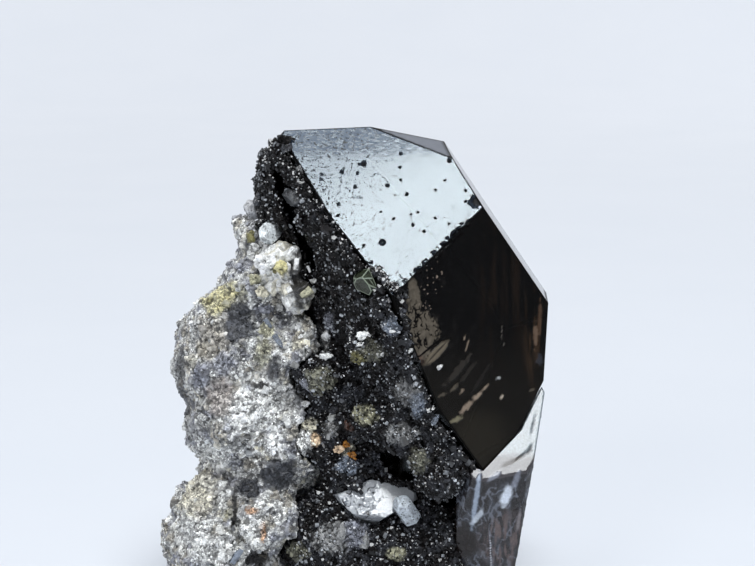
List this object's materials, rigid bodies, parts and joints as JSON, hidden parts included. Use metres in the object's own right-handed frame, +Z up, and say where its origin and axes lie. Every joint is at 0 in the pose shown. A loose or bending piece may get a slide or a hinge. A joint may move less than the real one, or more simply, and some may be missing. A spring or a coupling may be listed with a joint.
{
  "type": "morion quartz crystal on matrix",
  "caption": "Black smoky quartz crystal with glassy faces, leaning out of a sparkling dark druse on a lumpy pale rock that stands on a flat base.",
  "frame": {"origin": "under the middle of the specimen's box, on the flat base", "axes": "+Z up through the standing specimen, -Y toward the viewer of the pictured side, +X to that viewer's right"},
  "size_m": [0.0638, 0.0404, 0.0802],
  "materials": {
    "morion": "glassy",
    "smoky_quartz": "glassy, translucent",
    "step_quartz": "glassy",
    "grey_quartz": "frosted, translucent",
    "green_quartz": "glassy",
    "feldspar": "satin",
    "druse": "sparkling, glassy grains",
    "matrix": "rough, grainy"
  },
  "bodies": {
    "root": {"morion_crystal": "morion", "smoky_quartz_foot": "smoky_quartz", "step_crystal": "step_quartz", "pale_stub_crystal": "grey_quartz", "grey_quartz_outer": "grey_quartz", "grey_quartz_middle": "grey_quartz", "grey_quartz_valley": "grey_quartz", "green_crystal": "green_quartz", "feldspar_cluster": "feldspar", "quartz_druse": "druse", "matrix_rock": "matrix"}
  },
  "joints": []
}
